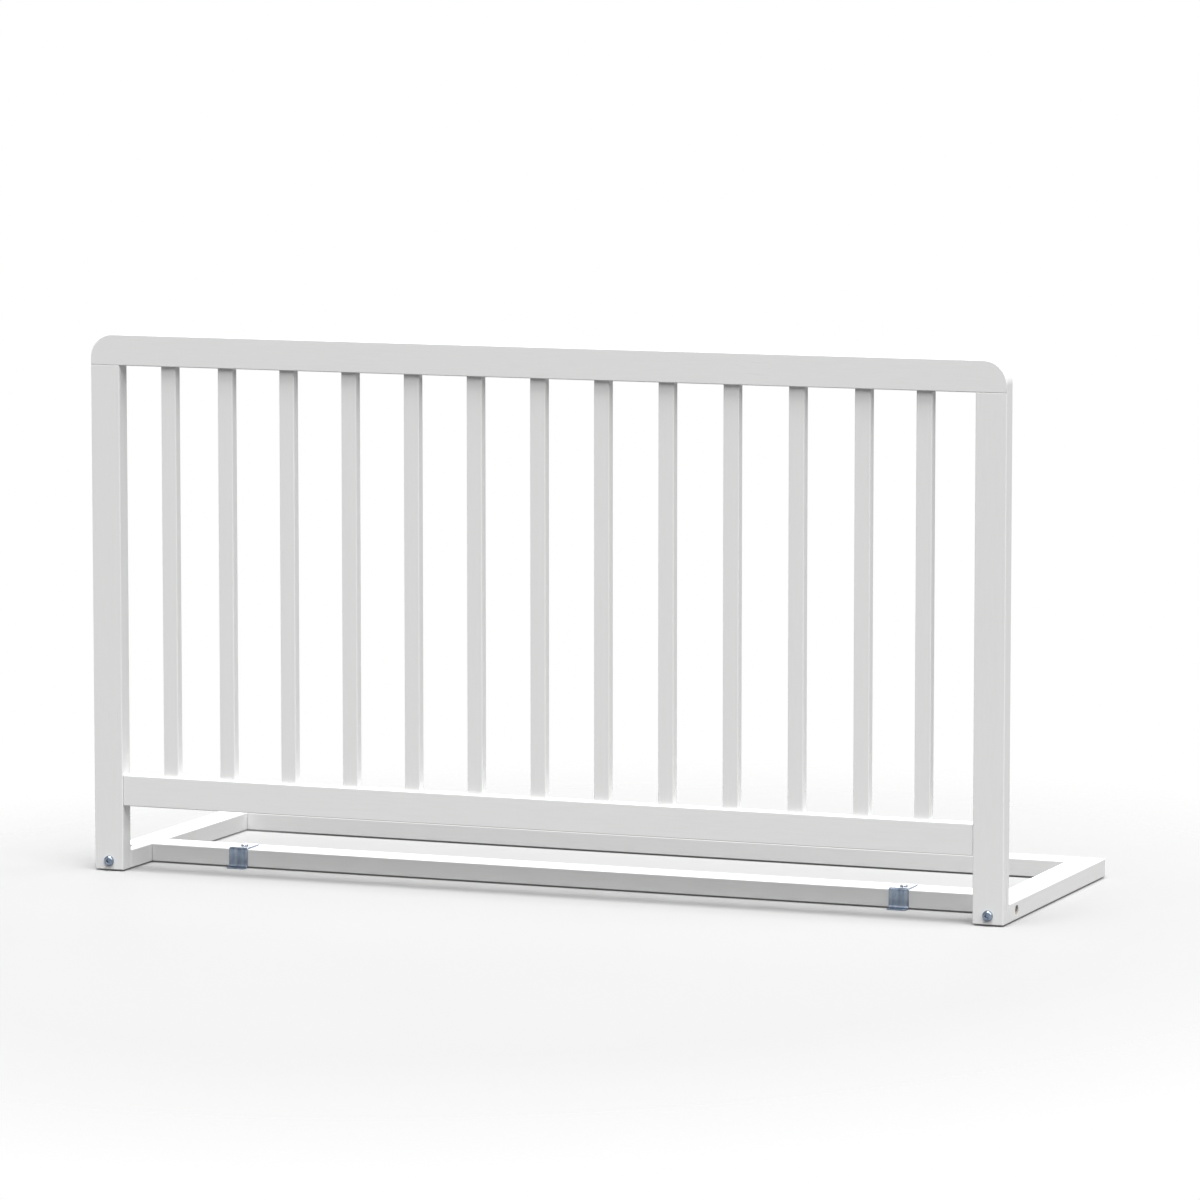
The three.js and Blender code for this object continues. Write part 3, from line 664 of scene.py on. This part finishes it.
class GUARD_OT_arms(bpy.types.Operator):
    """The base's arms: each is slotted from its front end for the hinge bolt, bored across from its
    outer face for the round nut, and dressed to an arc about that nut above its middle"""

    bl_idname = "guard.arms"
    bl_label = "Arms"
    bl_options = {"REGISTER", "UNDO"}

    def execute(self, context):
        sizes, colours = context.scene.guard_sizes, context.scene.guard_colours
        # bare: bare timber toned grey, partly painted shade inside the slot and the nut's bore.
        timber, bare = lacquer(Y, colours), shaded_bare_timber(colours)
        for side, sign in SIDES.items():
            low, high = box_of(f"{side}_arm")
            nut = middle_of(f"{side}_barrel_nut")
            form = bar(low, high, Y, sizes.timber_edge, sizes.joint_end, sizes.free_end)
            arm = new_object(f"{side}_arm_timber", form, timber)
            carve(arm, [self.relief(low, high, nut, sizes)], timber)
            slot, bore = self.slot(low, high, nut, sizes), self.bore(low, high, nut, sign, sizes)
            carve(arm, [slot, bore], bare)
            dress(arm, f"{side}_arm")
        return {"FINISHED"}

    @staticmethod
    def slot(low, high, nut, sizes):
        """Slot open at the front, with a half-round end, that widens towards both faces."""
        flare, half = sizes.hole_flare, sizes.bolt_hole / 2
        front = low[Y] - LONG_CUT_OVER
        end = box_of("top_rail")[0][Y] + sizes.slot_reach - half
        turn = np.linspace(0, np.pi, SLOT_POINTS)
        outlines = []
        for reach in (half + 2 * flare, half, half, half + 2 * flare):
            round_end = np.stack([reach * np.cos(turn), end + reach * np.sin(turn)], -1)
            outlines.append(np.concatenate([[[-reach, front], [reach, front]], round_end]))
        depth = high[Z] - low[Z]
        places = [-flare, flare, depth - flare, depth + flare]
        return prism(outlines, places, Z, (nut[X], 0.0, low[Z]))

    @staticmethod
    def relief(low, high, nut, sizes):
        """All that lies above the nut's level and further in front of it than the arm's end."""
        over = LONG_CUT_OVER
        reach = nut[Y] - low[Y] - sizes.contact_gap
        top = high[Z] - nut[Z]
        turn = np.linspace(np.pi, np.pi - math.asin(top / reach), ARC_POINTS)
        arc = np.stack([reach * np.cos(turn), reach * np.sin(turn)], -1)
        outline = np.concatenate([
            [[-reach - over, 0.0]], arc, [[arc[-1, 0], top + over], [-reach - over, top + over]],
        ])
        return prism([outline, outline], [low[X] - over, high[X] + over], X, (0.0, nut[Y], nut[Z]))

    @staticmethod
    def bore(low, high, nut, sign, sizes):
        """Blind bore from the arm's outer face to just past the nut, that widens at its mouth."""
        radius, flare = sizes.nut_bore / 2, sizes.hole_flare
        face = high[X] if sign > 0 else low[X]
        profile = [
            (radius, nut[X] - sign * NUT_BORE_REACH),
            (radius, face - sign * flare),
            (radius + 2 * flare, face + sign * flare),
        ]
        return lathe(profile, X, (0.0, nut[Y], nut[Z]))


class GUARD_OT_base_rails(bpy.types.Operator):
    """Front and back rail of the base, between its arms"""

    bl_idname = "guard.base_rails"
    bl_label = "Base rails"
    bl_options = {"REGISTER", "UNDO"}

    def execute(self, context):
        sizes, colours = context.scene.guard_sizes, context.scene.guard_colours
        for node in ("front_base_rail", "back_base_rail"):
            low, high = box_of(node)
            form = bar(low, high, X, sizes.timber_edge, sizes.joint_end, sizes.joint_end)
            rail = new_object(f"{node}_timber", form, lacquer(X, colours))
            if node == "front_base_rail":
                pilots = [self.pilot(side, high[Z], sizes) for side in SIDES]
                carve(rail, pilots, shaded_bare_timber(colours))
            dress(rail, node)
        return {"FINISHED"}

    @staticmethod
    def pilot(side, top, sizes):
        """Hole under a clip for its screw."""
        bottom = box_of(f"{side}_clip_screw")[0][Z] - SCREW_GAP
        return screw_hole(side, bottom, top + CUT_OVER, sizes)


def screw_hole(side, bottom, top, sizes):
    """Straight hole round a clip's screw, between two levels."""
    centre = middle_of(f"{side}_clip_screw")
    radius = sizes.screw_shank / 2 + SCREW_GAP
    return lathe([(radius, bottom), (radius, top)], Z, (centre[X], centre[Y], 0.0), SMALL_CIRCLE)


class GUARD_OT_clips(bpy.types.Operator):
    """The two clips: a strip of sheet swept over the rail, down its front and forward below it"""

    bl_idname = "guard.clips"
    bl_label = "Clips"
    bl_options = {"REGISTER", "UNDO"}

    def execute(self, context):
        sizes, colours = context.scene.guard_sizes, context.scene.guard_colours
        zinc = blue_zinc(colours)
        for side in SIDES:
            low, high = box_of(f"{side}_clip")
            clip = new_object(f"{side}_clip_plate", self.strip(low, high, sizes), zinc)
            bottom = high[Z] - sizes.clip_sheet - CUT_OVER
            carve(clip, [screw_hole(side, bottom, high[Z] + CUT_OVER, sizes)], zinc)
            dress(clip, f"{side}_clip")
        return {"FINISHED"}

    @staticmethod
    def strip(low, high, sizes):
        """The strip's middle line is straight, turns down through a quarter circle, is straight,
        turns forward through a wider quarter circle and is straight. Its width shrinks at both ends
        along the corner radius, and its section has rounded edges."""
        sheet, corner = sizes.clip_sheet, sizes.clip_corner
        edge = sheet * SHEET_ROUNDING
        upper, lower = sizes.clip_bend + sheet / 2, sizes.lip_bend + sheet / 2
        web = box_of("front_base_rail")[0][Y] - sheet / 2
        top, lip = high[Z] - sheet / 2, low[Z] + sheet / 2
        lengths = [
            high[Y] - web - upper, upper * QUARTER, top - lip - upper - lower,
            lower * QUARTER, web - lower - low[Y],
        ]
        starts = np.concatenate([[0.0], np.cumsum(lengths)])
        total = starts[-1]
        ends = corner * (1 - np.cos(np.linspace(0, QUARTER, ARC_POINTS)))
        fine = edge * (1 - np.cos(np.linspace(0, QUARTER, SHEET_POINTS)))
        bends = [np.linspace(starts[k], starts[k + 1], ARC_POINTS) for k in (1, 3)]
        stations = np.concatenate([ends, fine, total - ends, total - fine, *bends])
        along = np.unique(np.round(stations, LEAST_STEP_DIGITS))
        first = np.clip(along - starts[1], 0, lengths[1]) / upper
        second = np.clip(along - starts[3], 0, lengths[3]) / lower
        y = (
            high[Y] - np.clip(along, 0, lengths[0]) - upper * np.sin(first)
            - lower * (1 - np.cos(second)) - np.clip(along - starts[4], 0, None)
        )
        z = (
            top - upper * (1 - np.cos(first)) - np.clip(along - starts[2], 0, lengths[2])
            - lower * np.sin(second)
        )
        heading = first - second
        from_end = np.minimum(along, total - along)

        def rounding(radius):
            """How far a quarter circle of the radius lies inside its square at each station."""
            inside = np.clip(radius - from_end, 0, None)
            return radius - np.sqrt(np.clip(radius**2 - inside**2, 0, None))

        width, least = high[X] - low[X], edge * LEAST_ROUNDING
        rings = np.stack([
            rounded_ring(width - 2 * narrow, sheet - 2 * thin, max(edge - thin, least), SHEET_STEPS)
            for narrow, thin in zip(rounding(corner), rounding(edge))
        ])
        across, up = rings[..., 0], rings[..., 1]
        return skin(np.stack([
            (low[X] + high[X]) / 2 + across,
            y[:, None] + up * -np.sin(heading)[:, None],
            z[:, None] + up * np.cos(heading)[:, None],
        ], -1))


class GUARD_OT_clip_screws(bpy.types.Operator):
    """The clips' screws: a shallow domed head with a cross recess on a tapering shank"""

    bl_idname = "guard.clip_screws"
    bl_label = "Clip screws"
    bl_options = {"REGISTER", "UNDO"}

    def execute(self, context):
        sizes, colours = context.scene.guard_sizes, context.scene.guard_colours
        steel = zinc_material("bright_zinc", colours.bright_zinc, colours.bright_dull)
        for side in SIDES:
            low, high = box_of(f"{side}_clip_screw")
            centre = (low + high) / 2
            profile = self.profile(low, high, sizes)
            form = lathe(profile, Z, (centre[X], centre[Y], 0.0))
            screw = new_object(f"{side}_clip_screw_metal", form, steel)
            carve(screw, self.cross(centre, high[Z], sizes), steel)
            dress(screw, f"{side}_clip_screw")
        return {"FINISHED"}

    @staticmethod
    def profile(low, high, sizes):
        """Tip, shank that widens towards the head, and domed head."""
        shank, head = sizes.screw_shank / 2, (high[X] - low[X]) / 2
        seat = high[Z] - sizes.screw_head
        crown, rim = head * SCREW_CROWN, sizes.screw_head / SCREW_RIM
        return [
            (SCREW_TIP_RADIUS, low[Z]),
            (shank * SCREW_TAPER, low[Z] + SCREW_TIP_LENGTH),
            (shank, seat - SCREW_NECK),
            (shank, seat),
            *((radius, seat + up) for radius, up in dome(head, crown, rim, sizes.screw_head)),
        ]

    @staticmethod
    def cross(centre, top, sizes):
        """The two crossing bars of the recess, from its floor to above the head."""
        half = sizes.screw_recess / 2
        floor = np.array([centre[X], centre[Y], top - RECESS_DEPTH])
        reaches = np.array([RECESS_REACH, half, 0.0]), np.array([half, RECESS_REACH, 0.0])
        return [
            bar(
                floor - reach, floor + reach + [0, 0, RECESS_OVER], Z, half * RECESS_ROUNDING,
                CUTTER_EASE, CUTTER_EASE, edge_steps=3, ease_steps=1,
            )
            for reach in reaches
        ]


class GUARD_OT_hinge_bolts(bpy.types.Operator):
    """The hinge bolts: a low domed head with a hexagon socket, a plain neck, and a thread whose
    radius falls and rises once per pitch along a helix"""

    bl_idname = "guard.hinge_bolts"
    bl_label = "Hinge bolts"
    bl_options = {"REGISTER", "UNDO"}

    def execute(self, context):
        sizes, colours = context.scene.guard_sizes, context.scene.guard_colours
        zinc = blue_zinc(colours)
        for side in SIDES:
            low, high = box_of(f"{side}_hinge_bolt")
            form = self.turned(low, high, sizes)
            bolt = new_object(f"{side}_hinge_bolt_metal", form, zinc)
            carve(bolt, self.socket(low, high, sizes), zinc)
            dress(bolt, f"{side}_hinge_bolt")
        return {"FINISHED"}

    @staticmethod
    def socket(low, high, sizes):
        """Hexagonal prism from above the crown to the socket's floor, and the cone of its mouth."""
        crown, middle = low[Y], (low + high) / 2
        centre = middle[X], 0.0, middle[Z]
        corner = sizes.bolt_socket / 2 / math.cos(math.pi / 6)
        angle = np.arange(6) * np.pi / 3 + np.pi / 6
        hexagon = corner * np.stack([np.cos(angle), np.sin(angle)], -1)
        mouth = [(corner * share, crown + place) for share, place in SOCKET_MOUTH]
        return [
            prism([hexagon, hexagon], [crown - CUT_OVER, crown + sizes.socket_depth], Y, centre),
            lathe(mouth, Y, centre),
        ]

    @staticmethod
    def turned(low, high, sizes):
        """Circles about the bolt's axis. Along the thread the radius is the shank's less the depth
        times a triangle wave of place over pitch plus angle over a full turn."""
        shank, head, pitch = sizes.bolt_shank / 2, (high[X] - low[X]) / 2, sizes.thread_pitch
        height = sizes.bolt_head - sizes.contact_gap
        seat = low[Y] + height
        top = [
            (radius, seat - up)
            for radius, up in dome(head, sizes.bolt_crown / 2, sizes.bolt_rim, height)
        ]
        neck = [
            (shank + BOLT_FILLET, seat),
            (shank, seat + BOLT_FILLET),
            (shank, seat + sizes.thread_start - THREAD_LEAD),
        ]
        plain = np.array(top[::-1] + neck)
        start, end = seat + sizes.thread_start, high[Y] - BOLT_TIP
        places = np.arange(start, end, pitch / STEPS_PER_PITCH)
        angle = np.arange(CIRCLE) / CIRCLE * 2 * np.pi
        wave = np.abs(((places[:, None] / pitch + angle[None] / (2 * np.pi)) % 1.0) * 2 - 1)
        fade = np.clip((places - start) / pitch, 0, 1) * np.clip((end - places) / pitch, 0, 1)
        thread = shank - THREAD_DEPTH * pitch * wave * fade[:, None]
        tip = np.array([[shank, end], [shank - BOLT_TIP, high[Y]]])
        radii = np.concatenate([
            np.repeat(plain[:, :1], CIRCLE, 1), thread, np.repeat(tip[:, :1], CIRCLE, 1),
        ])
        along = np.concatenate([plain[:, 1], places, tip[:, 1]])
        local = np.stack([
            radii * np.cos(angle), radii * np.sin(angle), np.repeat(along[:, None], CIRCLE, 1),
        ], -1)
        middle = (low + high) / 2
        return skin(place_axes(local, Y) + [middle[X], 0.0, middle[Z]])


class GUARD_OT_barrel_nuts(bpy.types.Operator):
    """The round nuts across the arms, drilled for the bolt and slotted in the outer end"""

    bl_idname = "guard.barrel_nuts"
    bl_label = "Barrel nuts"
    bl_options = {"REGISTER", "UNDO"}

    def execute(self, context):
        sizes, colours = context.scene.guard_sizes, context.scene.guard_colours
        zinc = blue_zinc(colours)
        for side, sign in SIDES.items():
            low, high = box_of(f"{side}_barrel_nut")
            centre = (low + high) / 2
            radius = (high[Z] - low[Z]) / 2
            profile = [
                (radius - NUT_CHAMFER, low[X]), (radius, low[X] + NUT_CHAMFER),
                (radius, high[X] - NUT_CHAMFER), (radius - NUT_CHAMFER, high[X]),
            ]
            form = lathe(profile, X, (0.0, centre[Y], centre[Z]), FINE_CIRCLE)
            nut = new_object(f"{side}_barrel_nut_metal", form, zinc)
            hole = flared(sizes.bolt_shank / 2 + NUT_GAP, NUT_CHAMFER, low[Y], high[Y])
            drilled = lathe(hole, Y, (centre[X], 0.0, centre[Z]))
            carve(nut, [drilled, self.slot(low, high, centre, sign, sizes)], zinc)
            dress(nut, f"{side}_barrel_nut")
        return {"FINISHED"}

    @staticmethod
    def slot(low, high, centre, sign, sizes):
        """Bar across the nut's outer end, which is cut out for the screwdriver."""
        end = high[X] if sign > 0 else low[X]
        half = sizes.nut_slot / 2
        inner = [end - sign * NUT_SLOT_DEPTH, low[Y] - CUT_OVER, centre[Z] - half]
        outer = [end + sign * NUT_SLOT_OVER, high[Y] + CUT_OVER, centre[Z] + half]
        return bar(
            np.minimum(inner, outer), np.maximum(inner, outer), Y, half * NUT_SLOT_ROUNDING,
            CUTTER_EASE, CUTTER_EASE, edge_steps=2, ease_steps=1,
        )


class GUARD_OT_dowels(bpy.types.Operator):
    """The glued dowels inside the joints keep the frame's own form and are given bare beech"""

    bl_idname = "guard.dowels"
    bl_label = "Dowels"
    bl_options = {"REGISTER", "UNDO"}

    def execute(self, context):
        colours = context.scene.guard_colours
        beech = beech_material("dowel_beech", colours.beech, colours.beech_dark)
        for name, obj in frame["nodes"].items():
            if "dowel" in name:
                obj.data.materials.clear()
                obj.data.materials.append(beech)
        return {"FINISHED"}


class GUARD_OT_stage(bpy.types.Operator):
    """Floor, three broad lights, a card that the gloss mirrors, white surroundings and camera"""

    bl_idname = "guard.stage"
    bl_label = "Stage"
    bl_options = {"REGISTER", "UNDO"}

    def execute(self, context):
        colours = context.scene.guard_colours
        scene = context.scene
        floor = new_object("floor", self.sheet(), floor_material("studio_floor", colours.floor))
        floor.visible_diffuse = False
        floor.visible_shadow = False
        for name, source, strength, spread in DAYLIGHTS:
            self.daylight(name, source, strength, spread)
        self.card()
        self.surroundings(scene)
        self.camera(scene)
        scene.view_settings.view_transform = "Standard"
        scene.view_settings.look = "None"
        return {"FINISHED"}

    @staticmethod
    def sheet():
        """Flat sheet at the level of the guard's lowest faces."""
        corners = [[-1.0, -1.0, 0.0], [1.0, -1.0, 0.0], [1.0, 1.0, 0.0], [-1.0, 1.0, 0.0]]
        return FLOOR_HALF * np.array(corners), [[0, 1, 2, 3]]

    @staticmethod
    def daylight(name, source, strength, spread):
        """A broad even light that comes from the given direction, out of a disc of that angle."""
        data = bpy.data.lights.new(name, "SUN")
        data.energy = strength
        data.angle = math.radians(spread)
        lamp = bpy.data.objects.new(name, data)
        lamp.rotation_euler = Vector(source).to_track_quat("Z", "Y").to_euler()
        bpy.context.scene.collection.objects.link(lamp)

    @staticmethod
    def card():
        """A white card behind the guard, seen in gloss alone, which the clips' top faces mirror."""
        data = bpy.data.lights.new("backdrop", "AREA")
        data.shape = "RECTANGLE"
        data.size, data.size_y = CARD_WIDTH, CARD_HEIGHT
        data.energy = CARD_POWER
        lamp = bpy.data.objects.new("backdrop", data)
        lamp.location = CARD_PLACE
        facing = Vector(CARD_TARGET) - Vector(CARD_PLACE)
        lamp.rotation_euler = facing.to_track_quat("-Z", "Y").to_euler()
        lamp.visible_camera = False
        lamp.visible_diffuse = False
        bpy.context.scene.collection.objects.link(lamp)

    @staticmethod
    def surroundings(scene):
        """White all round: one strength for what it lights, one for what is mirrored in gloss and
        one for what the camera sees."""
        scene.world = bpy.data.worlds.new("surroundings")
        nodes = Nodes(scene.world)
        ray = nodes.add("ShaderNodeLightPath").outputs
        mirrored = nodes.add(
            "ShaderNodeMapRange", Value=ray["Is Glossy Ray"],
            To_Min=WHITE_ON_THINGS, To_Max=WHITE_IN_GLOSS,
        )
        strength = nodes.add(
            "ShaderNodeMapRange", Value=ray["Is Camera Ray"],
            To_Min=mirrored.outputs["Result"], To_Max=WHITE_SEEN,
        )
        sky = nodes.add(
            "ShaderNodeBackground", Color=(1, 1, 1, 1), Strength=strength.outputs["Result"],
        )
        nodes.add("ShaderNodeOutputWorld", Surface=sky.outputs["Background"])

    @staticmethod
    def camera(scene):
        """A long lens from the right and a little above, aimed so that the guard sits in the square
        frame as it does in the photograph."""
        azimuth, elevation = math.radians(CAMERA_AZIMUTH), math.radians(CAMERA_ELEVATION)
        level = math.cos(elevation)
        back = Vector((
            math.sin(azimuth) * level, -math.cos(azimuth) * level, math.sin(elevation),
        ))
        right = Vector((math.cos(azimuth), math.sin(azimuth), 0.0))
        up = back.cross(right)
        data = bpy.data.cameras.new("camera")
        data.sensor_width = SENSOR_WIDTH
        data.lens = LENS
        data.clip_start, data.clip_end = NEAREST, FARTHEST
        camera = bpy.data.objects.new("camera", data)
        camera.rotation_mode = "QUATERNION"
        camera.rotation_quaternion = Matrix((right, up, back)).transposed().to_quaternion()
        camera.location = Vector(CAMERA_AIM) + CAMERA_DISTANCE * back
        scene.collection.objects.link(camera)
        scene.camera = camera


class GUARD_PT_panel(bpy.types.Panel):
    """Lists the guard's operators, sizes and colours in the sidebar"""

    bl_idname = "GUARD_PT_panel"
    bl_label = "Bed guard rail"
    bl_space_type = "VIEW_3D"
    bl_region_type = "UI"
    bl_category = "Guard"

    def draw(self, context):
        column = self.layout.column()
        for operator in OPERATORS:
            column.operator(operator.bl_idname)
        for group in (context.scene.guard_sizes, context.scene.guard_colours):
            box = self.layout.box()
            for name in group.__annotations__:
                box.prop(group, name)


OPERATORS = (
    GUARD_OT_posts, GUARD_OT_top_rail, GUARD_OT_bottom_rail, GUARD_OT_slats, GUARD_OT_arms,
    GUARD_OT_base_rails, GUARD_OT_clips, GUARD_OT_clip_screws, GUARD_OT_hinge_bolts,
    GUARD_OT_barrel_nuts, GUARD_OT_dowels, GUARD_OT_stage,
)
CLASSES = (GuardSizes, GuardColours, *OPERATORS, GUARD_PT_panel)


def register():
    """Registers the classes and hangs the property groups on the scene."""
    for cls in CLASSES:
        bpy.utils.register_class(cls)
    bpy.types.Scene.guard_sizes = bpy.props.PointerProperty(type=GuardSizes)
    bpy.types.Scene.guard_colours = bpy.props.PointerProperty(type=GuardColours)


def unregister():
    """Takes the property groups and classes away again."""
    del bpy.types.Scene.guard_colours
    del bpy.types.Scene.guard_sizes
    for cls in reversed(CLASSES):
        bpy.utils.unregister_class(cls)


def main():
    """Runs every operator in order and writes the frame's box and the finished guard's box."""
    register()
    bpy.ops.guard.posts()
    bpy.ops.guard.top_rail()
    bpy.ops.guard.bottom_rail()
    bpy.ops.guard.slats()
    bpy.ops.guard.arms()
    bpy.ops.guard.base_rails()
    bpy.ops.guard.clips()
    bpy.ops.guard.clip_screws()
    bpy.ops.guard.hinge_bolts()
    bpy.ops.guard.barrel_nuts()
    bpy.ops.guard.dowels()
    bpy.ops.guard.stage()


if __name__ == "__main__":
    main()
